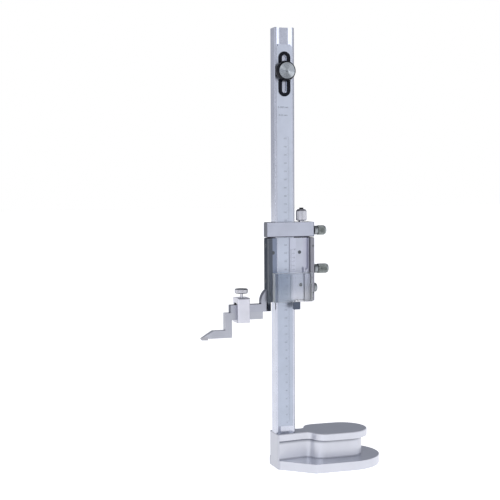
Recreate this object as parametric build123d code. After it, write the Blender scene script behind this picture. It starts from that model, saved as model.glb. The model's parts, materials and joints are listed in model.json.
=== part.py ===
from build123d import *
import os
from math import acos, cos, radians, sin, tan

# Vernier height gauge for 0 to 300 mm, in millimetres.
# X runs along the base, Y towards the back, Z up. The origin is on the base's underside,
# straight below the middle of the column. The slider stands where its scriber tip is tip_z high.

# ---- fits -------------------------------------------------------------------------------
slide_gap = 0.05            # between a sliding face and its guide
turn_gap = 0.05             # radial, a screw or spindle in its hole
part_gap = 0.1              # between neighbours on different bodies

# ---- column and main scale --------------------------------------------------------------
column_width = 25.4
column_depth = 15.5
column_top = 540.4
groove_mouth = 19.8
groove_floor = 11.2
groove_y = 2.5              # depth of the scale groove
scale_bottom = 52.0
scale_top = 520.0
scale_corner = 3.0
slot_width = 6.4
slot_low = 461.2
slot_high = 507.4
bezel_width = 15.2
bezel_border = 4.0          # how far the bezel passes the slot at its ends
bezel_seat = 1.0
bezel_proud = 0.8
clamp_z = 487.6             # height of the scale clamp's stud
stud_radius = 2.5
insert_radius = 4.5
insert_depth = 8.0
washer_radius = 7.5
washer_thick = 1.0
knob_radius = 12.3
knob_length = 8.6
knob_face_radius = 10.4
knob_face_depth = 3.0

# ---- base -------------------------------------------------------------------------------
base_height = 43.4
lower_flange = 11.1
upper_flange = 8.5
end_margin = 0.3            # the flat end face stands this far out from the column
end_x = -column_width / 2 - end_margin
end_half_width = 15.4
end_wall = 2.0              # solid wall that closes the finger groove at the end face
body_x = 78.5               # centre of the round end
upper_radius = 31.0
groove_depth = 6.8          # finger groove, at the round end
neck_groove_depth = 2.5     # finger groove, beside the column
neck_x = 31.0               # where the straight neck ends
neck_start = 25.0           # where it begins, after the taper from the end face
neck_half_width = 11.7
neck_hollow_radius = 8.0
lower_radius = 49.3
lower_body_x = 75.3         # centre of the lower flange's round end
flare_x = 24.3              # corner where the lower flange reaches its full width
edge_break = 0.8
end_corner = 2.0            # upright corners of the end face
shoulder_radius = 17.0      # from the neck's hollow to the straight side

# ---- slider -----------------------------------------------------------------------------
slider_bottom = 207.4
slider_height = 77.6
slider_top = slider_bottom + slider_height
left_wall = 7.3             # beside the column
slider_left = -column_width / 2 - left_wall
front_lip = 1.25            # of the body in front of the column's face
wall_front = -column_depth / 2 - front_lip
cheek_proud = 3.0           # the right cheek and the side plate stand out from that wall
cheek_front = wall_front - cheek_proud
back_wall = 4.25            # behind the column, cover included
slider_back = column_depth / 2 + back_wall
back_cover = 2.2            # thickness
gib_thick = 2.5
gib_wall = 7.35             # between the gib and the right cheek
vernier_right = column_width / 2 + slide_gap + gib_thick + gib_wall
cheek_width = 14.8
slider_right = vernier_right + cheek_width
window_edge = 1.4           # how far the keeper strip reaches over the column
window_left = -column_width / 2 + window_edge
vernier_reach = 4.0         # how far the vernier plate reaches over the main scale
vernier_left = groove_mouth / 2 - vernier_reach
vernier_thick = 1.4
vernier_bevel = 7.8         # width of the slope that carries its lines
vernier_edge = 0.4          # what is left of the thickness at the slope's foot
vernier_lift = 0.4          # vernier plate's gap to the column's face
strip_thick = 1.4           # keeper strip on the left of the window
channel_width = 5.7
channel_right = vernier_right + channel_width
channel_depth = 2.5
plate_thick = 4.0           # side plate
plate_left = slider_left - plate_thick
plate_foot = slider_bottom - 11.1
plate_back = 2.0
edge_chamfer = 1.8          # upright front edge on the right
jaw_front = -9.0
jaw_back = 0.0
jaw_top = slider_bottom - 2.4
jaw_height = 9.4
jaw_bottom = jaw_top - jaw_height
jaw_length = 50.5           # from the slider's side
jaw_tip = slider_left - jaw_length
shoulder_run = 7.3          # of the curve from the side plate down to the jaw
shoulder_x = plate_left - shoulder_run
shoulder_rise = 17.5
shoulder_top = jaw_top + shoulder_rise

# ---- screws with knurled heads ----------------------------------------------------------
lock_y = 0.5
lock_radius = 2.25
lock_head_radius = 6.0
lock_collar_radius = 5.4
lock_boss_radius = 4.6
lock_boss_end = slider_right + 2.2
lock_head_x = slider_right + 3.4
lock_collar_end = slider_right + 7.2
slider_lock_z = slider_bottom + 38.4
slider_lock_end = slider_right + 22.3
channel_low = slider_lock_z
pad_thick = 1.0
adjuster_y = -4.0
adjuster_z = slider_bottom + 15.4
adjuster_radius = 1.5
adjuster_cap_radius = 5.5
adjuster_cap_end = slider_right + 4.8

# ---- fine feed --------------------------------------------------------------------------
carriage_gap = 1.2          # between slider and carriage
carriage_height = 18.0
carriage_bottom = slider_top + carriage_gap
carriage_top = carriage_bottom + carriage_height
carriage_lock_z = carriage_bottom + 7.3
carriage_lock_end = slider_right + 19.1
front_plate_thick = 2.0
feed_x = vernier_right
feed_y = -4.5
feed_radius = 2.0
feed_end = slider_top - 31.0
feed_nut_radius = 2.9
feed_nut_bottom = slider_top - 14.0
collar_radius = 3.6
collar_height = 3.2
feed_knob_radius = 6.6
feed_knob_bottom = carriage_top + 1.7
feed_knob_top = carriage_top + 17.6
feed_neck_radius = 3.6

# ---- magnifier --------------------------------------------------------------------------
rail_width = 5.0
rail_depth = 3.5
rail_groove = 1.6           # width of the groove in each rail
tongue = 2.0                # how far the lens reaches into each rail
lens_left = plate_left + rail_width + 0.2
lens_right = slider_right - 7.1
lens_thick = 11.6
lens_height = 35.2
lens_back = cheek_front - 4 * part_gap
lens_front = lens_back - lens_thick
lens_top = slider_bottom + lens_height
tab_left = 6.3
tab_right = 14.6
tab_front = lens_front + 2.0
tab_back = lens_front + 6.8
tab_bottom = slider_bottom - 9.5

# ---- scriber and its clamp --------------------------------------------------------------
shank_height = 8.9
shank_right = slider_left - 9.4
crank_width = 8.6
crank_right = jaw_tip + 1.7
crank_left = crank_right - crank_width
blade_bottom = 165.4
blade_height = 9.2
blade_top = blade_bottom + blade_height
blade_length = 14.5         # from the crank to where its bevel starts
bevel_x = crank_left - blade_length
bevel_angle = 29.0
tip_z = blade_bottom - 1.9
tip_x = bevel_x - 7.1       # where the hard tip's seat begins
tip_top = blade_bottom + 2.2
tip_width = 3.0
nose_z = tip_z + 2.4        # top of the tip's nose
nose_run = 1.4
side_bevel_x = bevel_x - 3.1
clamp_width = 15.6
clamp_left = jaw_tip + 7.3
clamp_right = clamp_left + clamp_width
clamp_front = jaw_front - 6.2
clamp_back = jaw_back + 6.2
clamp_bottom = jaw_bottom - shank_height - 3.3
clamp_edge = 1.8
clamp_window_top = jaw_top + 2.4
clamp_top = clamp_window_top + 6.2
clamp_screw_radius = 1.75
clamp_head_radius = 8.1
clamp_head_bottom = clamp_top + 5.0
clamp_head_top = clamp_head_bottom + 5.7
clamp_pad_radius = 3.0

# ---- fasteners --------------------------------------------------------------------------
m6_radius = 3.0
m6_head_radius = 5.0
m6_head_height = 6.0
m6_x = 6.0                  # column screws, each side of the column's axis
m6_reach = 12.0             # into the column
m6_seat = 22.0              # height of the screw heads' undersides above the table
dowel_radius = 1.5
dowel_y = 3.0
dowel_half_length = 8.0
m3_radius = 1.25
m3_head_radius = 2.2
m3_head_height = 1.6
m3_length = 6.0
plate_screw_radius = 1.0    # screws of the vernier plate and the keeper strip
plate_screw_head_radius = 2.2
plate_screw_head_height = 0.9
plate_screw_length = 4.0
small_radius = 0.8
small_head_radius = 1.3
small_head_height = 0.8
small_length = 4.5

# ---- worked out from the values above ---------------------------------------------------
half_width = column_width / 2
half_depth = column_depth / 2
face_y = -half_depth                                # column's front face
column_foot = base_height
bore_left = -half_width - slide_gap
bore_front = -half_depth - slide_gap
bore_back = half_depth + slide_gap
gib_left = half_width + slide_gap
gib_right = gib_left + gib_thick
cover_front = slider_back - back_cover
vernier_back = face_y - vernier_lift
vernier_front = vernier_back - vernier_thick
strip_front = wall_front - strip_thick
shank_bottom = jaw_bottom - shank_height
jaw_middle = (jaw_front + jaw_back) / 2
bezel_front = face_y - bezel_proud
knob_back = bezel_front - slide_gap - washer_thick
knob_front = knob_back - knob_length
tip_end = bevel_x - (blade_top - nose_z) / tan(radians(bevel_angle))
clamp_screw_x = (clamp_left + clamp_right) / 2
rail_front = cheek_front - rail_depth
rail_y = cheek_front - rail_depth / 2
feed_screw_top = feed_knob_top - 6
UP = (0, 0, 1)
RIGHT = (1, 0, 0)
LEFT = (-1, 0, 0)
FRONT = (0, -1, 0)
BACK = (0, 1, 0)


def block(x_low, x_high, y_low, y_high, z_low, z_high):
    """Rectangular block between two opposite corners."""
    middle = ((x_low + x_high) / 2, (y_low + y_high) / 2, (z_low + z_high) / 2)
    return Pos(*middle) * Box(x_high - x_low, y_high - y_low, z_high - z_low)


def rod(radius, start, direction, length):
    """Round bar from start along direction."""
    frame = Plane(origin=start, z_dir=direction)
    return frame * Cylinder(radius, length, align=(Align.CENTER, Align.CENTER, Align.MIN))


def turned(start, direction, profile):
    """Solid of revolution; profile is a list of (radius, distance from start) pairs."""
    section = make_face(Polyline(*[(radius, 0, along) for radius, along in profile], close=True))
    return Plane(origin=start, z_dir=direction) * revolve(section, Axis.Z)


def side_profile(points, y_low, y_high):
    """Prism with an outline of (x, z) points, from y_low to y_high."""
    outline = Polyline(*points, close=True)
    face = make_face(Plane(origin=(0, y_high, 0), x_dir=(1, 0, 0), z_dir=FRONT) * outline)
    return extrude(face, amount=y_high - y_low, dir=FRONT)


def plan(outline, z_low, z_high):
    """Prism of a closed XY outline between two heights."""
    return Pos(0, 0, z_low) * extrude(make_face(outline), amount=z_high - z_low)


def obround(width, z_low, z_high, y_low, y_high):
    """Upright slot shape with round ends, standing in the XZ plane."""
    radius = width / 2
    shape = block(-radius, radius, y_low, y_high, z_low + radius, z_high - radius)
    for z in (z_low + radius, z_high - radius):
        shape += rod(radius, (0, y_low, z), BACK, y_high - y_low)
    return shape


def screw(head, direction, radius, head_radius, head_height, length, socket=0.5):
    """Socket screw; head is the middle of its head's outer face, direction points along its shank."""
    start = Vector(*head)
    way = Vector(*direction)
    body = rod(head_radius, start, way, head_height) + rod(radius, start + way * head_height, way, length)
    cut = Plane(origin=start, z_dir=way) * extrude(RegularPolygon(head_radius * socket, 6), head_height / 2)
    return body - cut


def screw_hole(head, direction, radius, head_radius, head_height, length):
    """The room that such a screw takes."""
    start = Vector(*head)
    way = Vector(*direction)
    return rod(head_radius, start, way, head_height) + rod(radius, start + way * head_height, way, length)


def upper_outline(inset, neck_inset, start_x):
    """Outline of the base's top flange; the waist under it is the same outline, set in."""
    radius = upper_radius - inset
    neck_y = neck_half_width - neck_inset
    end_y = end_half_width - neck_inset * (start_x > end_x)
    turn = acos(1 - (radius - neck_y) / (neck_hollow_radius + shoulder_radius))
    bend = (neck_x + neck_hollow_radius * sin(turn), neck_y + neck_hollow_radius * (1 - cos(turn)))
    straight = (bend[0] + shoulder_radius * sin(turn), radius)
    side = Line((start_x, end_y), (neck_start, neck_y))
    side += Line((neck_start, neck_y), (neck_x, neck_y))
    side += RadiusArc((neck_x, neck_y), bend, -neck_hollow_radius)
    side += RadiusArc(bend, straight, shoulder_radius)
    side += Line(straight, (body_x, radius))
    edges = side + mirror(side, Plane.XZ)
    edges += RadiusArc((body_x, radius), (body_x, -radius), radius)
    return edges + Line((start_x, -end_y), (start_x, end_y))


def make_base():
    flare = Polyline((lower_body_x, -lower_radius), (flare_x, -lower_radius), (end_x, -end_half_width),
                     (end_x, end_half_width), (flare_x, lower_radius), (lower_body_x, lower_radius))
    round_end = RadiusArc((lower_body_x, lower_radius), (lower_body_x, -lower_radius), lower_radius)
    lower = plan(flare + round_end, 0, lower_flange)
    lower = chamfer(lower.faces().sort_by(Axis.Z)[0].edges(), edge_break / 2)
    waist = plan(upper_outline(groove_depth, neck_groove_depth, end_x + end_wall),
                 lower_flange, base_height - upper_flange)
    waist += block(end_x, end_x + end_wall, -end_half_width, end_half_width,
                   lower_flange, base_height - upper_flange)
    upper = plan(upper_outline(0, 0, end_x), base_height - upper_flange, base_height)
    upper = chamfer(upper.faces().sort_by(Axis.Z)[-1].edges(), edge_break)
    base = lower + waist + upper
    inner = end_half_width - end_corner
    for low, high, middle in ((-end_half_width, -inner, -inner), (inner, end_half_width, inner)):
        corner = block(end_x, end_x + end_corner, low, high, 0, base_height)
        base -= corner - rod(end_corner, (end_x + end_corner, middle, 0), UP, base_height)
    for x in (-m6_x, m6_x):
        base -= rod(m6_head_radius + part_gap, (x, 0, 0), UP, m6_seat)
        base -= rod(m6_radius, (x, 0, 0), UP, base_height)
    for y in (-dowel_y, dowel_y):
        base -= rod(dowel_radius, (0, y, column_foot - dowel_half_length), UP, dowel_half_length)
    return base


def make_column():
    column = block(-half_width, half_width, -half_depth, half_depth, column_foot, column_top)
    column = chamfer(column.edges().filter_by(Axis.Z), edge_break)
    column = chamfer(column.faces().sort_by(Axis.Z)[-1].edges(), edge_break / 2)
    groove = Polyline((-groove_mouth / 2, face_y), (groove_mouth / 2, face_y),
                      (groove_floor / 2, face_y + groove_y), (-groove_floor / 2, face_y + groove_y),
                      close=True)
    column -= plan(groove, base_height, column_top)
    column -= rod(insert_radius, (0, face_y + groove_y, clamp_z), BACK, insert_depth)
    for x in (-m6_x, m6_x):
        column -= rod(m6_radius, (x, 0, column_foot), UP, m6_reach)
    for y in (-dowel_y, dowel_y):
        column -= rod(dowel_radius, (0, y, column_foot), UP, dowel_half_length)
    return column


def make_main_scale():
    side = 2 * slide_gap
    strip = Polyline((-groove_mouth / 2 + side, face_y), (groove_mouth / 2 - side, face_y),
                     (groove_floor / 2 - side, face_y + groove_y - slide_gap),
                     (-groove_floor / 2 + side, face_y + groove_y - slide_gap), close=True)
    shoulder = groove_mouth / 2 - scale_corner
    front_view = side_profile([(-groove_mouth / 2, scale_bottom), (groove_mouth / 2, scale_bottom),
                               (groove_mouth / 2, scale_top - scale_corner), (shoulder, scale_top),
                               (-shoulder, scale_top), (-groove_mouth / 2, scale_top - scale_corner)],
                              face_y, face_y + groove_y)
    scale = plan(strip, scale_bottom, scale_top) & front_view
    scale -= obround(slot_width, slot_low, slot_high, face_y, face_y + groove_y)
    scale -= bezel_blank(face_y - bezel_proud, face_y + bezel_seat)
    return scale


def bezel_blank(y_low, y_high):
    return obround(bezel_width, slot_low - bezel_border, slot_high + bezel_border, y_low, y_high)


def make_bezel():
    bezel = bezel_blank(bezel_front, face_y + bezel_seat)
    return bezel - obround(slot_width, slot_low, slot_high, bezel_front, face_y + bezel_seat)


def make_scale_clamp():
    """Knurled knob on a stud that goes through the slot in the main scale."""
    floor_y = face_y + groove_y
    insert = rod(insert_radius, (0, floor_y, clamp_z), BACK, insert_depth)
    insert -= rod(stud_radius + turn_gap, (0, floor_y, clamp_z), BACK, insert_depth)
    washer = rod(washer_radius, (0, knob_back, clamp_z), BACK, washer_thick)
    washer -= rod(stud_radius, (0, knob_back, clamp_z), BACK, washer_thick)
    stud_start = knob_front + knob_face_depth
    stud = rod(stud_radius, (0, stud_start, clamp_z), BACK, floor_y + insert_depth - 1 - stud_start)
    knob = turned((0, knob_back, clamp_z), FRONT,
                  [(0, 0), (knob_radius - 1, 0), (knob_radius, 1), (knob_radius, 4),
                   (knob_radius - 1.2, knob_length - 0.8), (knob_radius - 2, knob_length), (0, knob_length)])
    knob -= rod(knob_face_radius, (0, knob_front, clamp_z), BACK, knob_face_depth)
    knob -= rod(stud_radius, (0, knob_front, clamp_z), BACK, knob_length)
    face = turned((0, knob_front + knob_face_depth, clamp_z), FRONT,
                  [(0, 0), (knob_face_radius, 0), (knob_face_radius, knob_face_depth - 0.6),
                   (knob_face_radius - 0.6, knob_face_depth), (2.4, knob_face_depth),
                   (1.2, knob_face_depth - 1), (0, knob_face_depth - 1)])
    return insert, washer, stud, knob, face


cover_screw_places = [(x, z) for x in (slider_left + 3.6, slider_right - 5)
                      for z in (slider_bottom + 7, slider_top - 7)]
carriage_screw_places = [(x, carriage_bottom + 4) for x in (slider_left + 3.6, slider_right - 5)]
side_screw_places = [(-4.0, slider_bottom + 25), (-4.0, slider_top - 9)]
front_screw_heights = [slider_bottom + 20, slider_top - 17.7]
vernier_screw_places = [(vernier_right - 4.4, z) for z in front_screw_heights]
strip_screw_places = [(slider_left + 3.6, z) for z in front_screw_heights]
rail_screw_places = [slider_bottom + 10, slider_top - 10]


def back_screws(places):
    return [screw((x, slider_back, z), FRONT, m3_radius, m3_head_radius, m3_head_height, m3_length)
            for x, z in places]


def back_screw_holes(places):
    return [screw_hole((x, slider_back, z), FRONT, m3_radius, m3_head_radius, m3_head_height, m3_length)
            for x, z in places]


def side_screw(y, z):
    return screw((plate_left, y, z), RIGHT, m3_radius, m3_head_radius, m3_head_height, m3_length)


def side_screw_hole(y, z):
    return screw_hole((plate_left, y, z), RIGHT, m3_radius, m3_head_radius, m3_head_height, m3_length)


def front_screw(x, y, z):
    return screw((x, y, z), BACK, plate_screw_radius, plate_screw_head_radius, plate_screw_head_height,
                 plate_screw_length)


def front_screw_hole(x, y, z):
    return screw_hole((x, y, z), BACK, plate_screw_radius, plate_screw_head_radius,
                      plate_screw_head_height, plate_screw_length)


def small_screw(head, direction):
    return screw(head, direction, small_radius, small_head_radius, small_head_height, small_length)


def small_screw_hole(head, direction):
    return screw_hole(head, direction, small_radius, small_head_radius, small_head_height, small_length)


def break_right_edge(shape):
    """Chamfers the upright edge at the front on the right."""
    edge = shape.edges().filter_by(Axis.Z).group_by(Axis.X)[-1].sort_by(Axis.Y)[0]
    return chamfer(edge, edge_chamfer)


def make_slider_body():
    """Slider with its jaw: a U round the column, closed at the back by a cover."""
    body = block(slider_left, vernier_right, wall_front, cover_front, slider_bottom, slider_top)
    cheek = block(vernier_right, slider_right, cheek_front, cover_front, slider_bottom, slider_top)
    body += break_right_edge(cheek)
    body += jaw_shape(0)
    for z, length in ((slider_lock_z, lock_boss_end - slider_right), (adjuster_z, 0.8)):
        y = lock_y if z == slider_lock_z else adjuster_y
        body += rod(lock_boss_radius, (slider_right, y, z), RIGHT, length)
    body -= block(bore_left, gib_right, bore_front, bore_back, slider_bottom, slider_top)
    body -= block(window_left, vernier_right, wall_front, bore_front, slider_bottom, slider_top)
    body -= block(gib_right, vernier_right, wall_front, vernier_back, slider_bottom, slider_top)
    channel = (vernier_right + channel_right) / 2
    channel_radius = (channel_right - vernier_right) / 2
    body -= block(vernier_right, channel_right, cheek_front, cheek_front + channel_depth,
                  channel_low + channel_radius, slider_top)
    body -= rod(channel_radius, (channel, cheek_front, channel_low + channel_radius), BACK, channel_depth)
    body -= rod(lock_radius + turn_gap, (gib_right, lock_y, slider_lock_z), RIGHT, lock_boss_end)
    body -= rod(adjuster_radius, (gib_right, adjuster_y, adjuster_z), RIGHT, slider_right)
    body -= rod(feed_radius + 0.6, (feed_x, feed_y, feed_end - 3), UP, slider_top)
    body -= rod(feed_nut_radius, (feed_x, feed_y, feed_nut_bottom), UP, slider_top)
    for hole in back_screw_holes(cover_screw_places):
        body -= hole
    for y, z in side_screw_places:
        body -= side_screw_hole(y, z)
    for x, z in strip_screw_places:
        body -= front_screw_hole(x, strip_front, z)
    for x, z in vernier_screw_places:
        body -= front_screw_hole(x, vernier_front, z)
    for z in rail_screw_places:
        body -= small_screw_hole((rail_screw_x(right_rail_x(), -1), rail_front, z), BACK)
    return body


def jaw_shape(margin):
    """The jaw with its rounded shoulder; the margin widens it for the slot in the side plate."""
    middle = (shoulder_x + 0.25 * (plate_left - shoulder_x), jaw_top + 0.62 * (shoulder_top - jaw_top))
    outline = Line((jaw_tip, jaw_bottom - margin), (slider_left, jaw_bottom - margin))
    outline += Line((slider_left, jaw_bottom - margin), (slider_left, shoulder_top))
    outline += Line((slider_left, shoulder_top), (plate_left, shoulder_top))
    outline += ThreePointArc((plate_left, shoulder_top), middle, (shoulder_x, jaw_top))
    outline += Line((shoulder_x, jaw_top), (jaw_tip, jaw_top))
    outline += Line((jaw_tip, jaw_top), (jaw_tip, jaw_bottom - margin))
    face = make_face(Plane(origin=(0, jaw_back, 0), x_dir=(1, 0, 0), z_dir=FRONT) * outline)
    return extrude(face, amount=jaw_back - jaw_front, dir=FRONT)


def left_rail_x():
    return lens_left - part_gap - rail_width / 2


def right_rail_x():
    return lens_right + part_gap + rail_width / 2


def make_side_plate():
    """Plate that covers the slider's left side and the root of its jaw."""
    plate = block(plate_left, slider_left, cheek_front, plate_back, plate_foot, slider_top)
    plate = chamfer(plate.edges().filter_by(Axis.Z).group_by(Axis.X)[0], 0.5)
    plate -= jaw_shape(1)
    for y, z in side_screw_places:
        plate -= side_screw_hole(y, z)
    for z in rail_screw_places:
        plate -= small_screw_hole((rail_screw_x(left_rail_x(), 1), rail_front, z), BACK)
    return plate


def make_keeper_strip():
    """Holds the column in the slider on the left; the vernier plate does so on the right."""
    strip = block(slider_left, window_left, strip_front, wall_front, slider_bottom, slider_top)
    for x, z in strip_screw_places:
        strip -= front_screw_hole(x, strip_front, z)
    return strip


def rail_screw_x(x, inward):
    return x - inward * rail_width / 5


def make_rail(x, inward):
    rail = block(x - rail_width / 2, x + rail_width / 2, rail_front, cheek_front, slider_bottom, slider_top)
    inner = x + inward * rail_width / 2
    floor = inner - inward * (tongue + part_gap)
    rail -= block(min(inner, floor), max(inner, floor), rail_y - rail_groove / 2, rail_y + rail_groove / 2,
                  slider_bottom, slider_top)
    for z in rail_screw_places:
        rail -= small_screw_hole((rail_screw_x(x, inward), rail_front, z), BACK)
    return rail


def make_lens():
    lens = block(lens_left, lens_right, lens_front, lens_back, slider_bottom, lens_top)
    lens = chamfer(lens.faces().sort_by(Axis.Y)[0].edges(), 0.6)
    reach = tongue
    y_low = rail_y - rail_groove / 2 + part_gap
    y_high = rail_y + rail_groove / 2 - part_gap
    lens += block(lens_left - reach, lens_right + reach, y_low, y_high, slider_bottom, lens_top)
    return lens


def make_lens_tab():
    tab = block(tab_left, tab_right, tab_front, tab_back, tab_bottom, slider_bottom)
    return fillet(tab.faces().sort_by(Axis.Z)[0].edges(), 0.8)


def make_gib():
    gib = block(gib_left, gib_right, bore_front + 0.1, bore_back - 0.1, slider_bottom + 2, slider_top - 2)
    return gib


def make_gib_adjuster():
    cap = turned((slider_right + 0.8, adjuster_y, adjuster_z), RIGHT,
                 [(0, 0), (adjuster_cap_radius, 0), (adjuster_cap_radius, adjuster_cap_end - slider_right - 1.8),
                  (adjuster_cap_radius - 1, adjuster_cap_end - slider_right - 0.8),
                  (0, adjuster_cap_end - slider_right - 0.8)])
    return cap + rod(adjuster_radius, (gib_right, adjuster_y, adjuster_z), RIGHT, slider_right + 1 - gib_right)


def make_vernier_plate():
    """Plate whose left part slopes down to the main scale."""
    section = Polyline((vernier_left, vernier_back), (vernier_right, vernier_back),
                       (vernier_right, vernier_front), (vernier_left + vernier_bevel, vernier_front),
                       (vernier_left, vernier_back - vernier_edge), close=True)
    plate = plan(section, slider_bottom + 2, slider_top)
    for x, z in vernier_screw_places:
        plate -= front_screw_hole(x, vernier_front, z)
    return plate


def make_back_cover():
    cover = block(slider_left, slider_right, cover_front, slider_back, slider_bottom, slider_top)
    cover = chamfer(cover.faces().sort_by(Axis.Y)[-1].edges(), edge_break)
    for hole in back_screw_holes(cover_screw_places):
        cover -= hole
    return cover


def make_lock_screw(z, end, nose):
    head_end = end - nose
    return turned((nose, lock_y, z), RIGHT,
                  [(0, 0), (lock_radius, 0), (lock_radius, lock_head_x - nose),
                   (lock_collar_radius, lock_head_x - nose), (lock_collar_radius, lock_collar_end - nose),
                   (lock_head_radius - 1.6, lock_collar_end - nose),
                   (lock_head_radius - 1.6, lock_collar_end - nose + 0.6),
                   (lock_head_radius - 0.6, lock_collar_end - nose + 0.6),
                   (lock_head_radius, lock_collar_end - nose + 1.2),
                   (lock_head_radius, head_end - 3), (lock_head_radius - 0.9, head_end - 1),
                   (lock_head_radius - 2.6, head_end), (0, head_end)])


def make_carriage():
    """Fine-feed carriage: a block round the column, with the same outline as the slider."""
    front = cheek_front + front_plate_thick
    body = block(slider_left, slider_right, front, cover_front, carriage_bottom, carriage_top)
    body += block(plate_left, slider_left, front, plate_back, carriage_bottom, carriage_top)
    body += rod(lock_boss_radius, (slider_right, lock_y, carriage_lock_z), RIGHT, lock_boss_end - slider_right)
    body -= block(bore_left, gib_left, bore_front, bore_back, carriage_bottom, carriage_top)
    body -= rod(lock_radius + turn_gap, (gib_left, lock_y, carriage_lock_z), RIGHT, lock_boss_end)
    body -= rod(feed_radius + turn_gap, (feed_x, feed_y, carriage_bottom), UP, carriage_top)
    body -= rod(collar_radius + part_gap, (feed_x, feed_y, carriage_bottom), UP, collar_height + 2 * part_gap)
    for hole in back_screw_holes(carriage_screw_places):
        body -= hole
    return body


def make_carriage_back():
    cover = block(slider_left, slider_right, cover_front, slider_back, carriage_bottom, carriage_top)
    cover = chamfer(cover.faces().sort_by(Axis.Y)[-1].edges(), edge_break)
    for hole in back_screw_holes(carriage_screw_places):
        cover -= hole
    return cover


def make_front_plate():
    plate = block(plate_left, slider_right, cheek_front, cheek_front + front_plate_thick,
                  carriage_bottom, carriage_top)
    return break_right_edge(plate)


def make_feed_knob():
    height = feed_knob_top - carriage_top - part_gap
    foot = feed_knob_bottom - carriage_top - part_gap
    knob = turned((feed_x, feed_y, carriage_top + part_gap), UP,
                  [(0, 0), (feed_neck_radius, 0), (feed_neck_radius, foot), (feed_knob_radius - 1, foot),
                   (feed_knob_radius, foot + 1), (feed_knob_radius, height - 2.5),
                   (feed_knob_radius - 1.4, height - 0.6), (feed_neck_radius, height), (0, height)])
    return knob - rod(feed_radius, (feed_x, feed_y, carriage_top), UP, feed_screw_top - carriage_top)


def make_feed_screw():
    return rod(feed_radius, (feed_x, feed_y, feed_end), UP, feed_screw_top - feed_end)


def make_feed_collar():
    collar = rod(collar_radius, (feed_x, feed_y, carriage_bottom + part_gap), UP, collar_height)
    return collar - rod(feed_radius, (feed_x, feed_y, carriage_bottom), UP, collar_height + 1)


def make_feed_nut():
    nut = rod(feed_nut_radius, (feed_x, feed_y, feed_nut_bottom), UP, slider_top - feed_nut_bottom)
    return nut - rod(feed_radius + turn_gap, (feed_x, feed_y, feed_nut_bottom), UP, slider_top)


def tip_sides(shape):
    """Grinds both sides of the blade so that it narrows towards the tip."""
    for side in (-1, 1):
        edge = jaw_middle + side * (jaw_back - jaw_front) / 2
        point = jaw_middle + side * tip_width / 2
        wedge = Polyline((side_bevel_x, edge), (tip_end - 1, point), (tip_end - 1, edge + side),
                         (side_bevel_x, edge + side), close=True)
        shape -= plan(wedge, tip_z - 1, blade_top + 1)
    return shape


def make_scriber():
    bevel = tan(radians(bevel_angle))
    seat_x = bevel_x - (blade_top - tip_top) / bevel
    outline = [(shank_right, shank_bottom), (shank_right, jaw_bottom), (crank_left, jaw_bottom),
               (crank_left, blade_top), (bevel_x, blade_top), (seat_x, tip_top), (tip_x, tip_top),
               (tip_x, blade_bottom), (crank_right, blade_bottom), (crank_right, shank_bottom)]
    return tip_sides(side_profile(outline, jaw_front, jaw_back))


def make_scriber_tip():
    bevel = tan(radians(bevel_angle))
    seat_x = bevel_x - (blade_top - tip_top) / bevel
    outline = [(seat_x, tip_top), (tip_end, nose_z), (tip_end + nose_run, tip_z), (tip_x, tip_z),
               (tip_x, tip_top)]
    return tip_sides(side_profile(outline, jaw_front, jaw_back))


def make_scriber_clamp():
    clamp = block(clamp_left, clamp_right, clamp_front, clamp_back, clamp_bottom, clamp_top)
    clamp = fillet(clamp.edges().filter_by(Axis.Z) + clamp.edges().filter_by(Axis.X), clamp_edge)
    clamp -= block(clamp_left, clamp_right, jaw_front - part_gap, jaw_back + part_gap,
                   shank_bottom - part_gap, clamp_window_top)
    return clamp - rod(clamp_screw_radius + turn_gap, (clamp_screw_x, jaw_middle, clamp_window_top), UP, clamp_top)


def make_clamp_screw():
    neck = clamp_head_bottom - clamp_window_top
    height = clamp_head_top - clamp_window_top
    return turned((clamp_screw_x, jaw_middle, clamp_window_top), UP,
                  [(0, 0), (clamp_screw_radius, 0), (clamp_screw_radius, neck), (clamp_head_radius - 1.2, neck),
                   (clamp_head_radius, neck + 1.2), (clamp_head_radius, height - 1),
                   (clamp_head_radius - 1, height), (0, height)])


def make_clamp_pad():
    return rod(clamp_pad_radius, (clamp_screw_x, jaw_middle, jaw_top + part_gap), UP,
               clamp_window_top - jaw_top - part_gap)


def column_screw(x):
    return screw((x, 0, m6_seat - m6_head_height), UP, m6_radius, m6_head_radius, m6_head_height,
                 column_foot + m6_reach - m6_seat)


insert, washer, stud, knob, knob_face = make_scale_clamp()
lock_nose = gib_right + pad_thick
carriage_nose = gib_right + pad_thick

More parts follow.
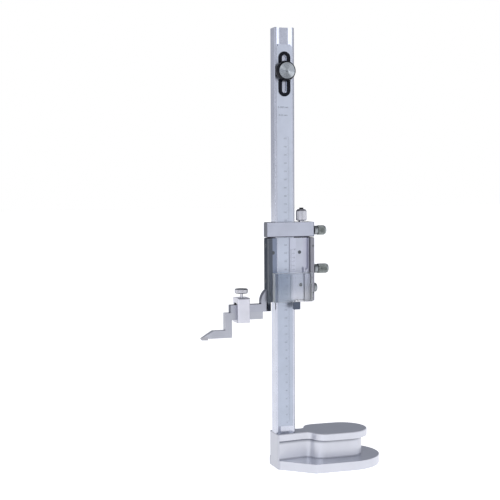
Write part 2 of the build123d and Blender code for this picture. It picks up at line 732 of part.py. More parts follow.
nodes = {
    "base": make_base(),
    "column": make_column(),
    "column_screws": [column_screw(x) for x in (-m6_x, m6_x)],
    "column_dowels": [rod(dowel_radius, (0, y, column_foot - dowel_half_length), UP, 2 * dowel_half_length)
                      for y in (-dowel_y, dowel_y)],
    "scale_clamp_insert": insert,
    "main_scale": make_main_scale(),
    "scale_slot_bezel": make_bezel(),
    "scale_clamp_knob": knob,
    "scale_clamp_face": knob_face,
    "scale_clamp_stud": stud,
    "scale_clamp_washer": washer,
    "slider_body": make_slider_body(),
    "slider_back_cover": make_back_cover(),
    "back_cover_screws": back_screws(cover_screw_places),
    "slider_side_plate": make_side_plate(),
    "side_plate_screws": [side_screw(y, z) for y, z in side_screw_places],
    "keeper_strip": make_keeper_strip(),
    "keeper_screws": [front_screw(x, strip_front, z) for x, z in strip_screw_places],
    "gib": make_gib(),
    "gib_adjuster": make_gib_adjuster(),
    "vernier_plate": make_vernier_plate(),
    "vernier_screws": [front_screw(x, vernier_front, z) for x, z in vernier_screw_places],
    "lens_rail_left": make_rail(left_rail_x(), 1),
    "lens_rail_right": make_rail(right_rail_x(), -1),
    "rail_screws": [small_screw((rail_screw_x(x, inward), rail_front, z), BACK)
                    for x, inward in ((left_rail_x(), 1), (right_rail_x(), -1)) for z in rail_screw_places],
    "feed_nut": make_feed_nut(),
    "slider_lock_pad": rod(lock_radius, (gib_right, lock_y, slider_lock_z), RIGHT, pad_thick),
    "slider_lock_screw": make_lock_screw(slider_lock_z, slider_lock_end, lock_nose),
    "feed_carriage": make_carriage(),
    "carriage_front_plate": make_front_plate(),
    "carriage_back_plate": make_carriage_back(),
    "carriage_plate_screws": back_screws(carriage_screw_places),
    "carriage_lock_pad": rod(lock_radius, (gib_left, lock_y, carriage_lock_z), RIGHT, carriage_nose - gib_left),
    "carriage_lock_screw": make_lock_screw(carriage_lock_z, carriage_lock_end, carriage_nose),
    "feed_knob": make_feed_knob(),
    "feed_screw": make_feed_screw(),
    "feed_collar": make_feed_collar(),
    "magnifier_lens": make_lens(),
    "lens_tab": make_lens_tab(),
    "scriber": make_scriber(),
    "scriber_tip": make_scriber_tip(),
    "scriber_clamp": make_scriber_clamp(),
    "clamp_screw": make_clamp_screw(),
    "clamp_pad": make_clamp_pad(),
}

os.makedirs("parts", exist_ok=True)
for name, shape in nodes.items():
    solids = shape if isinstance(shape, list) else [shape]
    solids = [solid for item in solids for solid in item.solids()]
    export_step(solids[0] if len(solids) == 1 else Compound(children=solids), f"parts/{name}.step")
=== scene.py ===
import json
from math import atan2, ceil, cos, pi, radians, sin, tan

import bpy
from mathutils import Matrix, Vector


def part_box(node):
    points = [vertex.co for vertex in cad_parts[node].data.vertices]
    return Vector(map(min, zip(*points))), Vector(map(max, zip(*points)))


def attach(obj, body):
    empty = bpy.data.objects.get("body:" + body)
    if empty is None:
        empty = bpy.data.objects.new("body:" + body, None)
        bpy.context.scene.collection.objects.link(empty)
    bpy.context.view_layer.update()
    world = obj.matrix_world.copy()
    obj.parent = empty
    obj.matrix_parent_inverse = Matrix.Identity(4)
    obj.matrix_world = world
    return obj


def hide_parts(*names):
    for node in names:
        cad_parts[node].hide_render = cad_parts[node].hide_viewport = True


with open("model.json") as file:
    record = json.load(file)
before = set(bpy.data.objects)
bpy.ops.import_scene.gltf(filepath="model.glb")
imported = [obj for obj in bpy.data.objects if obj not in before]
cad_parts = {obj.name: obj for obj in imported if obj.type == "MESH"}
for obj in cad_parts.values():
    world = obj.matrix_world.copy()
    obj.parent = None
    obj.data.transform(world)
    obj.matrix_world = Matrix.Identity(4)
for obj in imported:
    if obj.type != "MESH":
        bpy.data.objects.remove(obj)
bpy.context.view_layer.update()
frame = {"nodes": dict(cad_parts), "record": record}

mm = 0.001
along_x = (0.06, 1, 1)          # stretches a noise along X
along_z = (1, 1, 0.06)
front = (0, -1, 0)
right = (1, 0, 0)
up = (0, 0, 1)

# ---- places on the instrument -----------------------------------------------------------
scale_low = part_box("main_scale")[0]
tip_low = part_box("scriber_tip")[0]
rail_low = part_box("lens_rail_right")[0]
body_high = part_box("slider_body")[1]
column_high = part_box("column")[1]
vernier_low, vernier_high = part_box("vernier_plate")
front_plate_low, front_plate_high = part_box("carriage_front_plate")
vernier_bevel = 7.8 * mm        # width of the vernier plate's sloping face
vernier_flat = vernier_low.x + vernier_bevel

# where painted shade and light change, each a pair of places on an axis between which the colours blend
scale_fade = (150 * mm, 420 * mm)
slider_fade = (222 * mm, 238 * mm)
side_plate_foot = (203 * mm, 209 * mm)
front_plate_foot = (front_plate_low.z + 0.7 * mm, front_plate_low.z + 1.1 * mm)
front_plate_side = (front_plate_high.x - 1.2 * mm, front_plate_high.x - 0.2 * mm)
column_side = (column_high.x - 1.4 * mm, column_high.x - 1.0 * mm)
slope_end = (vernier_flat - 0.4 * mm, vernier_flat)
rail_side = (rail_low.x - 0.3 * mm, rail_low.x + 0.1 * mm)
body_side = (body_high.x - 1.1 * mm, body_high.x - 0.6 * mm)
lens_split = (3 * mm, 6 * mm)
lens_fade = (214 * mm, 228 * mm)
base_end = (-11 * mm, -10.5 * mm)
base_foot = (20 * mm, 30 * mm)
foot_fade = (20 * mm, 110 * mm)
groove_shade = [(34.9 * mm, 29.5 * mm, 1.0), (11.1 * mm, 14 * mm, 0.6)]    # from, fading to, depth

# ---- materials --------------------------------------------------------------------------
shade_colour = (0.12, 0.13, 0.17)
# painted shade: the dark colour given to level faces of the slider, vernier plate and keeper strip, for the
# shade in the gap under the carriage
painted_gap_shade = (0.03, 0.03, 0.04)
# painted shade on the lens block: darker on its left and towards its top
lens_left_painted_shade = (0.76, 0.79, 0.83)
lens_right_tint = (1.0, 1.0, 1.0)
lens_low_tint = (1.0, 1.0, 1.0)
lens_top_painted_shade = (0.86, 0.88, 0.91)
frost_tint = (0.92, 0.96, 0.97)
frost_roughness = 0.55
acrylic_ior = 1.49
casting_metallic = 0.55
metal_clouds = 60               # scale of each noise, in cells to the metre
metal_grain = 2500
paint_grain = 900
casting_clouds = 45
acrylic_clouds = 40


def new_material(name):
    material = bpy.data.materials.new(name)
    material.use_nodes = True
    tree = material.node_tree
    return material, tree.nodes, tree.links, tree.nodes["Principled BSDF"]


def give(links, socket, value):
    """Gives a socket its value: a number, a colour or the output of another node."""
    if isinstance(value, bpy.types.NodeSocket):
        links.new(value, socket)
    elif socket.type == "RGBA":
        socket.default_value = (*value, 1)
    else:
        socket.default_value = value


def position(nodes, links, axis):
    """Place along one axis of the row frame, in metres."""
    place = nodes.new("ShaderNodeTexCoord")
    axes = nodes.new("ShaderNodeSeparateXYZ")
    links.new(place.outputs["Object"], axes.inputs["Vector"])
    return axes.outputs[axis]


def noise(nodes, links, scale, stretch=(1, 1, 1), detail=3.0):
    """Noise in the row frame, in metres; a small stretch value draws it out along that axis."""
    place = nodes.new("ShaderNodeTexCoord")
    mapping = nodes.new("ShaderNodeMapping")
    mapping.inputs["Scale"].default_value = stretch
    texture = nodes.new("ShaderNodeTexNoise")
    texture.inputs["Scale"].default_value = scale
    texture.inputs["Detail"].default_value = detail
    links.new(place.outputs["Object"], mapping.inputs["Vector"])
    links.new(mapping.outputs["Vector"], texture.inputs["Vector"])
    return texture.outputs["Fac"]


def arithmetic(nodes, links, kind, *values):
    """A sum, product or the like of numbers and sockets."""
    node = nodes.new("ShaderNodeMath")
    node.operation = kind
    for socket, value in zip(node.inputs, values):
        give(links, socket, value)
    return node.outputs[0]


def in_range(nodes, links, value, low, high, at_low, at_high, smooth=True):
    """Takes a value from the range low to high over to the range at_low to at_high, and stops there."""
    ramp = nodes.new("ShaderNodeMapRange")
    ramp.interpolation_type = "SMOOTHSTEP" if smooth else "LINEAR"
    ramp.inputs["From Min"].default_value = low
    ramp.inputs["From Max"].default_value = high
    ramp.inputs["To Min"].default_value = at_low
    ramp.inputs["To Max"].default_value = at_high
    links.new(value, ramp.inputs["Value"])
    return ramp.outputs["Result"]


def spread(nodes, links, cloud, low, high):
    """Takes the middle of a noise over to the range from low to high."""
    return in_range(nodes, links, cloud, 0.3, 0.7, low, high, smooth=False)


def mixed(nodes, links, share, first, second, kind="MIX"):
    """Mixes two colours; share is how much of the second."""
    mix = nodes.new("ShaderNodeMix")
    mix.data_type = "RGBA"
    mix.blend_type = kind
    give(links, mix.inputs[6], first)
    give(links, mix.inputs[7], second)
    give(links, mix.inputs[0], share)
    return mix.outputs[2]


def blend_along(nodes, links, axis, places, low_colour, high_colour):
    """Colour that goes from one to the other between two places on an axis."""
    share = in_range(nodes, links, position(nodes, links, axis), *places, 0, 1)
    return mixed(nodes, links, share, low_colour, high_colour)


def facing(nodes, links, axis):
    """1 where the surface's normal lies along the axis, 0 elsewhere."""
    geometry = nodes.new("ShaderNodeNewGeometry")
    axes = nodes.new("ShaderNodeSeparateXYZ")
    links.new(geometry.outputs["True Normal"], axes.inputs["Vector"])
    size = arithmetic(nodes, links, "ABSOLUTE", axes.outputs[axis])
    return in_range(nodes, links, size, 0.85, 0.97, 0, 1)


def scaled(nodes, links, colour, share):
    """A colour made darker or lighter by a share."""
    scale = nodes.new("ShaderNodeVectorMath")
    scale.operation = "SCALE"
    give(links, scale.inputs[0], colour)
    give(links, scale.inputs["Scale"], share)
    return scale.outputs["Vector"]


def metal(name, colour, roughness, grain=(1, 1, 1), low=None, across=(), top=None, edge=1.0):
    """Ground or brushed metal. low is (places, colour): the colour below a height, a painted shade. across
    is a list
    of (places, colour): the colour to the right of a place, a painted shade. top is the colour of level
    faces, a painted shade. edge is how bright the metal is where it is seen at a flat angle."""
    material, nodes, links, shader = new_material(name)
    shader.inputs["Metallic"].default_value = 1.0
    shader.inputs["Specular Tint"].default_value = (edge, edge, edge, 1)
    # painted shade: darker below a height, to the right of a place and on level faces
    if low:
        colour = blend_along(nodes, links, "Z", low[0], low[1], colour)
    for places, beyond in across:
        colour = blend_along(nodes, links, "X", places, colour, beyond)
    if top:
        colour = mixed(nodes, links, facing(nodes, links, "Z"), colour, top)
    cloud = noise(nodes, links, metal_clouds, detail=2)
    colour = scaled(nodes, links, colour, spread(nodes, links, cloud, 0.95, 1.05))
    links.new(colour, shader.inputs["Base Color"])
    lines = noise(nodes, links, metal_grain, grain)
    links.new(spread(nodes, links, lines, roughness * 0.9, roughness * 1.12), shader.inputs["Roughness"])
    relief = nodes.new("ShaderNodeBump")
    relief.inputs["Strength"].default_value = 0.04
    relief.inputs["Distance"].default_value = 0.02 * mm
    links.new(lines, relief.inputs["Height"])
    links.new(relief.outputs["Normal"], shader.inputs["Normal"])
    return material


def paint(name, colour, roughness, gloss=0.3):
    """Paint, black oxide or ink."""
    material, nodes, links, shader = new_material(name)
    shader.inputs["Specular IOR Level"].default_value = gloss
    cloud = noise(nodes, links, paint_grain)
    colour = scaled(nodes, links, colour, spread(nodes, links, cloud, 0.88, 1.12))
    links.new(colour, shader.inputs["Base Color"])
    links.new(spread(nodes, links, cloud, roughness * 0.9, roughness * 1.1), shader.inputs["Roughness"])
    return material


def acrylic(name):
    """Clear block: polished in front and behind, frosted on its edges, with painted shade that makes it
    darker on its left and towards its top.
    """
    material, nodes, links, shader = new_material(name)
    shader.inputs["Transmission Weight"].default_value = 1.0
    shader.inputs["IOR"].default_value = acrylic_ior
    # painted shade: the polished faces darker towards the top and on the left
    by_height = blend_along(nodes, links, "Z", lens_fade, lens_low_tint, lens_top_painted_shade)
    by_side = blend_along(nodes, links, "X", lens_split, lens_left_painted_shade, lens_right_tint)
    polished = mixed(nodes, links, 1.0, by_side, by_height, "MULTIPLY")
    flat = facing(nodes, links, "Y")
    links.new(mixed(nodes, links, flat, frost_tint, polished), shader.inputs["Base Color"])
    roughness = nodes.new("ShaderNodeMix")
    give(links, roughness.inputs[0], flat)
    give(links, roughness.inputs[2], frost_roughness)
    cloud = noise(nodes, links, acrylic_clouds)
    give(links, roughness.inputs[3], spread(nodes, links, cloud, 0.015, 0.03))
    links.new(roughness.outputs[0], shader.inputs["Roughness"])
    return material


def casting(name, end_painted_shade, side_colour, top_painted_shade, foot_painted_light, roughness):
    """Ground casting, with painted shade and light: level faces painted darker than its sides, the end face
    painted darker, the lower flange's top painted lighter near the column end, and painted shade in its
    finger groove's corners.
    """
    material, nodes, links, shader = new_material(name)
    shader.inputs["Metallic"].default_value = casting_metallic
    height = position(nodes, links, "Z")
    shade = 0.0
    for start, end, depth in groove_shade:
        share = in_range(nodes, links, height, start, end, depth, 0)
        beyond = arithmetic(nodes, links, "GREATER_THAN" if end > start else "LESS_THAN", height, start)
        shade = arithmetic(nodes, links, "ADD", shade, arithmetic(nodes, links, "MULTIPLY", share, beyond))
    # painted shade in the groove's corners and on the end face, painted light on the lower flange's top
    # near the column end, painted shade on the higher level faces
    sides = mixed(nodes, links, shade, side_colour, shade_colour)
    sides = blend_along(nodes, links, "X", base_end, end_painted_shade, sides)
    foot = blend_along(nodes, links, "X", foot_fade, *foot_painted_light)
    tops = blend_along(nodes, links, "Z", base_foot, foot, top_painted_shade)
    colour = mixed(nodes, links, facing(nodes, links, "Z"), sides, tops)
    cloud = noise(nodes, links, casting_clouds, detail=2)
    colour = scaled(nodes, links, colour, spread(nodes, links, cloud, 0.96, 1.0))
    links.new(colour, shader.inputs["Base Color"])
    links.new(spread(nodes, links, cloud, roughness * 0.95, roughness * 1.05), shader.inputs["Roughness"])
    return material


looks = {
    # base: painted shade on its end face, level faces and groove corners, painted light on the lower
    # flange's top
    "base_steel": casting("base_steel", (0.58, 0.59, 0.64), (0.70, 0.71, 0.76), (0.27, 0.29, 0.35),
                          ((0.60, 0.62, 0.69), (0.32, 0.34, 0.40)), 0.32),
    # painted shade: the column's right edge darker
    "column_steel": metal("column_steel", (0.53, 0.55, 0.62), 0.22, along_z,
                          across=[(column_side, (0.30, 0.31, 0.36))]),
    "fastener_steel": metal("fastener_steel", (0.10, 0.11, 0.12), 0.35),
    "insert_brass": metal("insert_brass", (0.72, 0.52, 0.25), 0.35),
    # painted shade: the scale darker towards the bottom
    "scale_face": metal("scale_face", (0.50, 0.535, 0.61), 0.36, along_z,
                        low=(scale_fade, (0.43, 0.47, 0.55))),
    "bezel_metal": paint("bezel_metal", (0.004, 0.005, 0.010), 0.4, 0.12),
    "knob_black": paint("knob_black", (0.004, 0.004, 0.008), 0.35, 0.15),
    "knob_face": metal("knob_face", (0.26, 0.28, 0.30), 0.22, edge=0.3),
    # painted shade: the slider darker below the carriage, along its right edges and on its level faces
    "slider_steel": metal("slider_steel", (0.46, 0.47, 0.55), 0.36, along_z,
                          low=(slider_fade, (0.38, 0.39, 0.44)),
                          across=[(rail_side, (0.25, 0.25, 0.28)), (body_side, (0.05, 0.05, 0.06))],
                          top=painted_gap_shade, edge=0.2),
    # painted shade: the side plate darker at its foot
    "black_plate": metal("black_plate", (0.18, 0.195, 0.22), 0.40, along_z,
                         low=(side_plate_foot, (0.020, 0.024, 0.034)), edge=0.05),
    # painted shade: the vernier plate's flat face darker than its sloping face, and its level faces darker
    "vernier_steel": metal("vernier_steel", (0.50, 0.52, 0.60), 0.34, along_z,
                           across=[(slope_end, (0.46, 0.48, 0.55))], top=painted_gap_shade, edge=0.2),
    "carriage_black": metal("carriage_black", (0.28, 0.29, 0.32), 0.40, edge=0.4),
    # painted shade: the carriage front plate dark along its lower edge and its right edge
    "front_plate": metal("front_plate", (0.44, 0.46, 0.53), 0.36, along_x,
                         low=(front_plate_foot, (0.05, 0.05, 0.07)),
                         across=[(front_plate_side, (0.12, 0.12, 0.14))], edge=0.3),
    "rail_black": paint("rail_black", (0.095, 0.108, 0.130), 0.4, 0.2),
    "knurled_dark": metal("knurled_dark", (0.26, 0.28, 0.27), 0.34),
    "knurled_steel": metal("knurled_steel", (0.52, 0.52, 0.55), 0.22, edge=0.1),
    "cap_black": metal("cap_black", (0.30, 0.32, 0.33), 0.34, edge=0.1),
    "lens_clear": acrylic("lens_clear"),
    # painted shade: the keeper strip's steel made dark for the shade at the window's left side, and its
    # level faces darker
    "strip_steel": metal("strip_steel", (0.20, 0.23, 0.30), 0.38, along_z, top=painted_gap_shade, edge=0.2),
    "tab_black": paint("tab_black", (0.09, 0.11, 0.15), 0.35),
    "scriber_steel": metal("scriber_steel", (0.40, 0.41, 0.45), 0.36, along_x),
    "scriber_tip": metal("scriber_tip", (0.34, 0.34, 0.36), 0.30),
    "clamp_steel": metal("clamp_steel", (0.60, 0.60, 0.65), 0.34),
}
ink_look = paint("ink", (0.10, 0.11, 0.14), 0.6)
tick_look = paint("tick_ink", (0.18, 0.195, 0.24), 0.6)

for part in frame["record"]["subparts"]:
    node = frame["nodes"][part["node"]]
    node.data.materials.clear()
    node.data.materials.append(looks[part["material_slot"]])


# ---- mesh helpers -----------------------------------------------------------------------
ink_height = 0.03 * mm
ring_spacing = 0.3 * mm         # length of a knurl's facets
facets_per_rib = 8
knurl_width = 0.55              # a knurl groove's share of its pitch
least_radius = 0.01 * mm


def mesh_piece(name, corners, faces, look, body):
    mesh = bpy.data.meshes.new(name)
    mesh.from_pydata([tuple(corner) for corner in corners], [], faces)
    mesh.update()
    piece = bpy.data.objects.new(name, mesh)
    bpy.context.scene.collection.objects.link(piece)
    mesh.materials.append(look)
    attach(piece, body)
    return piece


def bars(name, spans, surface, look, body):
    """One mesh of thin upstanding bars, each (x, x, z, z); surface gives the face's y at an x."""
    corners = []
    faces = []
    for x_low, x_high, z_low, z_high in spans:
        first = len(corners)
        for x in (x_low, x_high):
            for y in (surface(x) - ink_height, surface(x) + ink_height):
                for z in (z_low, z_high):
                    corners.append((x, y, z))
        for face in ((0, 1, 3, 2), (4, 6, 7, 5), (0, 4, 5, 1), (2, 3, 7, 6), (0, 2, 6, 4), (1, 5, 7, 3)):
            faces.append([first + corner for corner in face])
    return mesh_piece(name, corners, faces, look, body)


def lettering(name, words, look, body, slope=0.0):
    """Raised words on faces that look to the front, turned by the slope about the upright axis.
    words is a list of (text, size, x, y, z, align)."""
    letters = []
    for text, size, x, y, z, align in words:
        curve = bpy.data.curves.new(name, "FONT")
        curve.body = text
        curve.size = size
        curve.align_x = align
        curve.align_y = "CENTER"
        curve.extrude = ink_height / 2
        curve.resolution_u = 3
        letter = bpy.data.objects.new(name, curve)
        turn = Matrix.Rotation(slope, 4, "Z") @ Matrix.Rotation(pi / 2, 4, "X")
        letter.matrix_world = Matrix.Translation((x, y, z)) @ turn
        bpy.context.scene.collection.objects.link(letter)
        letters.append(letter)
    bpy.context.view_layer.update()
    graph = bpy.context.evaluated_depsgraph_get()
    corners = []
    faces = []
    for letter in letters:
        shape = bpy.data.meshes.new_from_object(letter.evaluated_get(graph))
        first = len(corners)
        corners += [letter.matrix_world @ vertex.co for vertex in shape.vertices]
        faces += [[first + index for index in polygon.vertices] for polygon in shape.polygons]
        bpy.data.objects.remove(letter)
    return mesh_piece(name, corners, faces, look, body)


def knurl_cut(phase):
    """1 in the middle of a knurl's groove, 0 on the land between two grooves."""
    away = abs((phase / (2 * pi) + 0.5) % 1 - 0.5) * 2
    return max(0.0, 1 - away / knurl_width)


def turned(name, start, direction, profile, look, body, knurl=None, segments=64):
    """Solid of revolution. profile is (radius, distance along) pairs, and knurl is
    (from, to, ribs, depth, slant): where the ribs run, how many, how deep, and their slant."""
    knurl_from, knurl_to, ribs, depth, slant = knurl or (1, 1, 0, 0, 0)
    around = ribs * facets_per_rib or segments
    rings = []
    for (radius, along), (next_radius, next_along) in zip(profile, profile[1:]):
        ribbed = along >= knurl_from - mm / 100 and next_along <= knurl_to + mm / 100
        pieces = max(1, ceil(abs(next_along - along) / ring_spacing)) if ribbed else 1
        for piece in range(pieces):
            share = piece / pieces
            rings.append((radius + (next_radius - radius) * share, along + (next_along - along) * share,
                          ribbed))
    rings.append((*profile[-1], False))
    way = Vector(direction)
    side = way.orthogonal().normalized()
    other = way.cross(side)
    corners = []
    for radius, along, ribbed in rings:
        for step in range(around):
            turn = 2 * pi * step / around
            cut = 0.0
            if ribbed:
                lean = slant * along
                cut = max(knurl_cut(ribs * turn + lean), knurl_cut(ribs * turn - lean)) * depth
            outwards = side * cos(turn) + other * sin(turn)
            corners.append(Vector(start) + way * along + outwards * max(radius - cut, least_radius))
    faces = []
    for ring in range(len(rings) - 1):
        for step in range(around):
            after = (step + 1) % around
            faces.append((ring * around + step, ring * around + after,
                          (ring + 1) * around + after, (ring + 1) * around + step))
    faces.append(list(range(around))[::-1])
    faces.append([(len(rings) - 1) * around + step for step in range(around)])
    return mesh_piece(name, corners, faces, look, body)


# ---- graduations ------------------------------------------------------------------------
scale_zero = 58.1 * mm          # height of the zero line in the main scale's middle position
scale_length = 350              # divisions of 1 mm
tick_right = 5.8 * mm
tick_width = 0.16 * mm
tick_lengths = {50: 5.0 * mm, 10: 2.6 * mm, 5: 2.2 * mm, 1: 1.6 * mm}
numeral_size = 2.6 * mm
numeral_right = 2.6 * mm
numeral_drop = 1.8 * mm
word_size = 3.2 * mm
word_x = -1.8 * mm
range_z = 444.0 * mm
reading_z = 434.5 * mm
vernier_divisions = 50
vernier_length = 49.0 * mm
vernier_margin = 0.3 * mm
vernier_tick = 2.2 * mm
vernier_long_tick = 3.6 * mm
vernier_numeral = 4.2 * mm      # from the ticks' left end to the numerals
vernier_edge_y = vernier_high.y - 0.4 * mm      # the sloping face's foot, at the plate's left edge
vernier_slope = atan2(vernier_low.y - vernier_edge_y, vernier_bevel)


def scale_surface(x):
    return scale_low.y


def vernier_surface(x):
    return vernier_edge_y + (x - vernier_low.x) * tan(vernier_slope)


def tick_length(value):
    """Length of the longest kind of tick that falls on this value."""
    return max(length for step, length in tick_lengths.items() if value % step == 0)


def make_scale_marks():
    spans = []
    for value in range(scale_length + 1):
        z = scale_zero + value * mm
        spans.append((tick_right - tick_length(value), tick_right, z - tick_width / 2, z + tick_width / 2))
    bars("scale_ticks", spans, scale_surface, tick_look, "main_scale")
    face_y = scale_low.y
    first_z = scale_zero - numeral_drop
    numerals = [(str(value), numeral_size, numeral_right, face_y, first_z + value * mm, "RIGHT")
                for value in range(0, scale_length + 1, 10)]
    lettering("scale_numerals", numerals, tick_look, "main_scale")
    words = [("0-300 mm", word_size, word_x, face_y, range_z, "CENTER"),
             ("0.02 mm", word_size, word_x, face_y, reading_z, "CENTER")]
    lettering("scale_range", words, ink_look, "main_scale")


def make_vernier_marks():
    left = vernier_low.x + vernier_margin
    zero = scale_zero + tip_low.z
    spans = []
    for step in range(vernier_divisions + 1):
        z = zero + step * vernier_length / vernier_divisions
        length = vernier_long_tick if step % 5 == 0 else vernier_tick
        spans.append((left, left + length, z - tick_width / 2, z + tick_width / 2))
    bars("vernier_ticks", spans, vernier_surface, ink_look, "slider")
    number_x = left + vernier_numeral
    numerals = [(str(number), numeral_size, number_x, vernier_surface(number_x),
                 zero + number * vernier_length / 10, "LEFT") for number in range(11)]
    lettering("vernier_numerals", numerals, ink_look, "slider", vernier_slope)


make_scale_marks()
make_vernier_marks()


# ---- knurled heads ----------------------------------------------------------------------
lock_collar_x = 40.8 * mm       # where the lock screws' collars begin
lock_neck_x = 44.6 * mm         # where the collars end
lock_stem_radius = 2.25 * mm
lock_collar_radius = 5.4 * mm
clamp_neck_z = 218.6 * mm       # where the clamp screw's head begins
clamp_stem_radius = 1.75 * mm
feed_bore_radius = 2.05 * mm
feed_neck_radius = 3.6 * mm
feed_cap_radius = 2.6 * mm
feed_cap_height = 1.6 * mm


def make_lock_screw(node, body):
    low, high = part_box(node)
    start = Vector((low.x, (low.y + high.y) / 2, (low.z + high.z) / 2))
    radius = (high.z - low.z) / 2
    end = high.x - low.x
    collar = lock_collar_x - low.x
    neck = lock_neck_x - low.x
    head = neck + 0.6 * mm
    neck_radius = radius - 1.6 * mm
    ribs_from = head + 0.6 * mm
    ribs_to = end - 3 * mm
    profile = [(0, 0), (lock_stem_radius, 0), (lock_stem_radius, collar),
               (lock_collar_radius - 0.4 * mm, collar), (lock_collar_radius, collar + 0.4 * mm),
               (lock_collar_radius, neck), (neck_radius, neck), (neck_radius, head),
               (radius - 0.6 * mm, head), (radius, ribs_from), (radius, ribs_to),
               (radius - 0.9 * mm, end - 1 * mm), (radius - 2.6 * mm, end)]
    screw = turned(node + "_knurled", start, right, profile, looks["knurled_dark"], body,
                   knurl=(ribs_from, ribs_to, 36, 0.28 * mm, 5200))
    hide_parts(node)
    inside = lock_collar_radius - 0.4 * mm
    outside = lock_collar_radius + 0.05 * mm
    ring = [(inside, collar), (outside, collar), (outside, neck), (inside, neck)]
    turned(node + "_collar", start, right, ring, looks["cap_black"], body)


def make_feed_knob():
    low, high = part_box("feed_knob")
    start = Vector(((low.x + high.x) / 2, (low.y + high.y) / 2, low.z))
    radius = (high.x - low.x) / 2
    top = high.z - low.z - feed_cap_height
    foot = 1.6 * mm
    ribs_from = foot + 1 * mm
    ribs_to = top - 2.5 * mm
    profile = [(feed_bore_radius, 0), (feed_neck_radius, 0), (feed_neck_radius, foot),
               (radius - 1 * mm, foot), (radius, ribs_from), (radius, ribs_to),
               (radius - 1.4 * mm, top - 0.6 * mm), (feed_neck_radius, top)]
    knob = turned("feed_knob_knurled", start, up, profile, looks["knurled_steel"], "feed",
                  knurl=(ribs_from, ribs_to, 30, 0.3 * mm, 0))
    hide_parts("feed_knob")
    cap = [(0, 0), (feed_cap_radius, 0), (feed_cap_radius, feed_cap_height - 0.5 * mm),
           (feed_cap_radius - 0.5 * mm, feed_cap_height), (0, feed_cap_height)]
    turned("feed_knob_cap", start + Vector(up) * top, up, cap, looks["knob_black"], "feed",
           segments=32)


def make_clamp_head():
    low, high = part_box("clamp_screw")
    start = Vector(((low.x + high.x) / 2, (low.y + high.y) / 2, low.z))
    radius = (high.x - low.x) / 2
    top = high.z - low.z
    neck = clamp_neck_z - low.z
    ribs_from = neck + 1 * mm
    ribs_to = top - 1 * mm
    profile = [(0, 0), (clamp_stem_radius, 0), (clamp_stem_radius, neck), (radius - 1 * mm, neck),
               (radius, ribs_from), (radius, ribs_to), (radius - 1 * mm, top)]
    screw = turned("clamp_head_knurled", start, up, profile, looks["knurled_steel"], "clamp_screw",
                   knurl=(ribs_from, ribs_to, 40, 0.3 * mm, 0))
    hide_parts("clamp_screw")


# ---- scale clamp's face -----------------------------------------------------------------
face_rings = 7
ring_height = 0.12 * mm
ring_share = 0.55               # where each ring's crest lies between its edges
face_dish = 0.7 * mm
face_edge = 0.6 * mm
hub_radius = 2.0 * mm
hub_depth = 0.5 * mm


def make_knob_face():
    """Dished disc with the fine rings that its turning leaves."""
    low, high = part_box("scale_clamp_face")
    centre = Vector(((low.x + high.x) / 2, high.y, (low.z + high.z) / 2))
    radius = (high.x - low.x) / 2
    thick = high.y - low.y
    flat_radius = radius - face_edge
    step = (flat_radius - hub_radius) / face_rings
    profile = [(0, 0), (radius, 0), (radius, thick - 0.7 * mm), (flat_radius, thick)]
    for ring in range(face_rings):
        outer = flat_radius - ring * step
        depth = thick - face_dish * (ring + 1) / face_rings
        profile.append((outer - step * ring_share, depth - ring_height))
        profile.append((outer - step, depth))
    hub_floor = thick - face_dish - hub_depth
    profile += [(hub_radius * 0.6, hub_floor), (0, hub_floor)]
    face = turned("knob_face_turned", centre, front, profile, looks["knob_face"], "scale_knob",
                  segments=96)
    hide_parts("scale_clamp_face")


# ---- base -------------------------------------------------------------------------------
hollow_foot = 11.1 * mm         # top of the lower flange
hollow_shift = 6 * mm
hollow_from = 13 * mm           # the shift grows from here
hollow_ramp = 12 * mm
hollow_to = 90 * mm             # and has faded out here
hollow_fade = 45 * mm


def make_base():
    """The CAD base with the hollow of its waist and top flange nearer the column."""
    source = frame["nodes"]["base"]
    mesh = source.data.copy()
    to_row = source.matrix_world.copy()
    from_row = to_row.inverted()
    places = [to_row @ vertex.co for vertex in mesh.vertices]
    waist_foot = set()
    for edge in mesh.edges:
        lower, upper = sorted((places[corner] for corner in edge.vertices), key=lambda place: place.z)
        if abs(lower.z - hollow_foot) < mm / 100 and upper.z > hollow_foot + mm:
            waist_foot.add((round(lower.x, 6), round(lower.y, 6)))
    for vertex, place in zip(mesh.vertices, places):
        at_foot = abs(place.z - hollow_foot) < mm / 100
        in_waist = at_foot and (round(place.x, 6), round(place.y, 6)) in waist_foot
        if in_waist or place.z > hollow_foot + mm:
            rise = min(1, max(0, (place.x - hollow_from) / hollow_ramp))
            fall = min(1, max(0, (hollow_to - place.x) / hollow_fade))
            place.x -= hollow_shift * rise * fall
            vertex.co = from_row @ place
    piece = bpy.data.objects.new("base_shaped", mesh)
    piece.matrix_world = to_row
    bpy.context.scene.collection.objects.link(piece)
    mesh.materials.clear()
    mesh.materials.append(looks["base_steel"])
    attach(piece, "stand")
    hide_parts("base")


make_lock_screw("slider_lock_screw", "slider_lock")
make_lock_screw("carriage_lock_screw", "carriage_lock")
make_feed_knob()
make_clamp_head()
make_knob_face()
make_base()


# ---- floor, world, lights ---------------------------------------------------------------
floor_size = 12.0
floor_colour = (0.92, 0.92, 0.93)
floor_lift = 0.72               # makes the floor white to the camera, shadows excepted
back_level = 0.62               # how bright the studio is in reflections
front_level = 0.66
vertical_level = 0.45           # share that is left straight above and below
panels = [((-0.66, -0.75, 0.05), 14, 1.5), ((0.98, -0.17, 0.05), 16, 1.6)]    # towards, sharpness, strength
studio_tint = (0.95, 0.97, 1.06)
lamp_aim = (0, 0, 0.25)
lamps = [("key", (-0.7, -1.9, 1.5), 1.4, 1.0, 11), ("fill", (1.3, -1.6, 0.9), 1.0, 1.0, 4)]


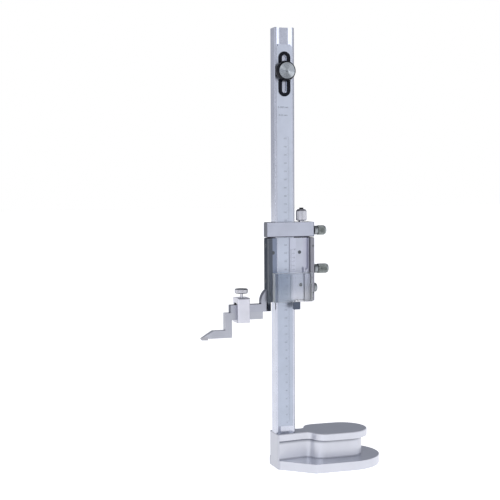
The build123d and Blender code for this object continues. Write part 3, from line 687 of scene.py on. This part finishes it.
def seen_by(nodes, links, *rays):
    """1 for rays of these kinds, 0 for others."""
    path = nodes.new("ShaderNodeLightPath")
    seen = 0.0
    for ray in rays:
        seen = arithmetic(nodes, links, "MAXIMUM", seen, path.outputs["Is " + ray + " Ray"])
    return seen


def make_floor():
    side = floor_size
    mesh = bpy.data.meshes.new("floor")
    corners = [(-side, -side, 0), (side, -side, 0), (side, side, 0), (-side, side, 0)]
    mesh.from_pydata(corners, [], [(0, 1, 2, 3)])
    floor = bpy.data.objects.new("floor", mesh)
    bpy.context.scene.collection.objects.link(floor)
    material, nodes, links, shader = new_material("floor")
    shader.inputs["Base Color"].default_value = (*floor_colour, 1)
    shader.inputs["Roughness"].default_value = 0.8
    shader.inputs["Emission Color"].default_value = (1, 1, 1, 1)
    seen = seen_by(nodes, links, "Camera", "Glossy", "Transmission")
    links.new(arithmetic(nodes, links, "MULTIPLY", seen, floor_lift), shader.inputs["Emission Strength"])
    mesh.materials.append(material)


def make_world():
    """White to the camera; for reflections, two bright panels in an even studio."""
    world = bpy.data.worlds.new("studio")
    bpy.context.scene.world = world
    world.use_nodes = True
    nodes = world.node_tree.nodes
    links = world.node_tree.links
    place = nodes.new("ShaderNodeTexCoord")
    axes = nodes.new("ShaderNodeSeparateXYZ")
    links.new(place.outputs["Generated"], axes.inputs[0])
    level = in_range(nodes, links, axes.outputs["Y"], -0.6, 0.6, front_level, back_level)
    rise = arithmetic(nodes, links, "ABSOLUTE", axes.outputs["Z"])
    fade = in_range(nodes, links, rise, 0.3, 0.9, 1, vertical_level)
    level = arithmetic(nodes, links, "MULTIPLY", level, fade)
    for towards, sharpness, strength in panels:
        dot = nodes.new("ShaderNodeVectorMath")
        dot.operation = "DOT_PRODUCT"
        links.new(place.outputs["Generated"], dot.inputs[0])
        dot.inputs[1].default_value = Vector(towards).normalized()
        nearness = arithmetic(nodes, links, "MAXIMUM", dot.outputs["Value"], 0)
        glow = arithmetic(nodes, links, "POWER", nearness, sharpness)
        level = arithmetic(nodes, links, "ADD", level, arithmetic(nodes, links, "MULTIPLY", glow, strength))
    light = scaled(nodes, links, studio_tint, level)
    seen = seen_by(nodes, links, "Camera", "Transmission")
    links.new(mixed(nodes, links, seen, light, (1, 1, 1)), nodes["Background"].inputs["Color"])


def softbox(name, place, width, height, power):
    light = bpy.data.lights.new(name, "AREA")
    light.shape = "RECTANGLE"
    light.size = width
    light.size_y = height
    light.energy = power
    lamp = bpy.data.objects.new(name, light)
    bpy.context.scene.collection.objects.link(lamp)
    lamp.location = place
    lamp.rotation_euler = (Vector(lamp_aim) - Vector(place)).to_track_quat("-Z", "Y").to_euler()


make_floor()
make_world()
for lamp in lamps:
    softbox(*lamp)


# ---- camera -----------------------------------------------------------------------------
camera_place = Vector((-474.07, -1327.90, 356.46)) * mm
camera_azimuth = radians(-18.0)         # from straight in front
camera_pitch = radians(3.51)            # looking down
camera_roll = radians(-0.33)
camera_sensor = 36.0
focal_length = 82.54
camera_reach = 50


def make_camera():
    level = Vector((cos(camera_azimuth), sin(camera_azimuth), 0))
    forward = Vector((-sin(camera_azimuth) * cos(camera_pitch), cos(camera_azimuth) * cos(camera_pitch),
                      -sin(camera_pitch)))
    upright = level.cross(forward)
    rightwards = level * cos(camera_roll) + upright * sin(camera_roll)
    upwards = upright * cos(camera_roll) - level * sin(camera_roll)
    data = bpy.data.cameras.new("camera")
    data.sensor_width = camera_sensor
    data.lens = focal_length
    data.clip_end = camera_reach
    camera = bpy.data.objects.new("camera", data)
    bpy.context.scene.collection.objects.link(camera)
    turn = Matrix((rightwards, upwards, -forward)).transposed()
    camera.matrix_world = Matrix.Translation(camera_place) @ turn.to_4x4()
    bpy.context.scene.camera = camera


make_camera()
bpy.context.scene.view_settings.view_transform = "Standard"
